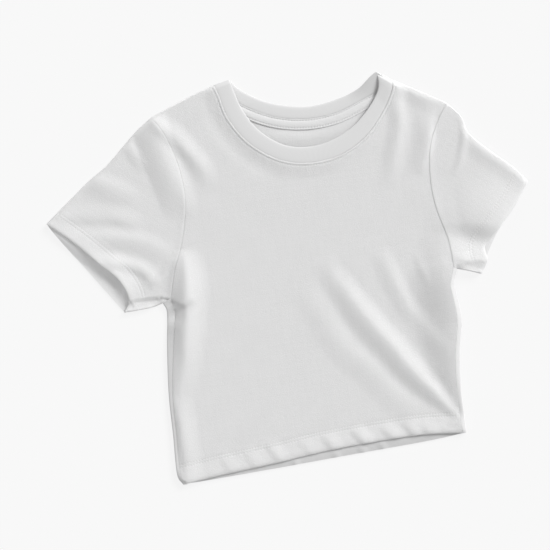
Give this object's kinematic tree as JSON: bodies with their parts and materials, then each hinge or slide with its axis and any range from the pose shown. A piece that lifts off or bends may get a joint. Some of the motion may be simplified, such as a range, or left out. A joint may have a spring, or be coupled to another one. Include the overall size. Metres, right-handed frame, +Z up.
{
  "type": "crop top",
  "caption": "Short-sleeved crop top in plain jersey, laid flat front side up, with a ribbed round neckband, a taped back neck, flattened sleeves and soft diagonal folds.",
  "frame": {"origin": "middle of the laid garment's outline, on the surface that it lies on", "axes": "+Z up out of the surface, +Y towards the neck, +X towards sleeve_right. Left and right in the node names are as seen from above, front side up, so sleeve_left is worn on the right arm."},
  "size_m": [0.5406, 0.4436, 0.0154],
  "materials": {
    "jersey": "matt white cotton single jersey",
    "rib_knit": "matt white fine cotton rib",
    "neck_tape": "matt white jersey tape"
  },
  "bodies": {
    "root": {"front": "jersey", "back": "jersey", "sleeve_left": "jersey", "sleeve_right": "jersey", "neckband": "rib_knit", "neck_tape": "neck_tape"}
  },
  "joints": []
}
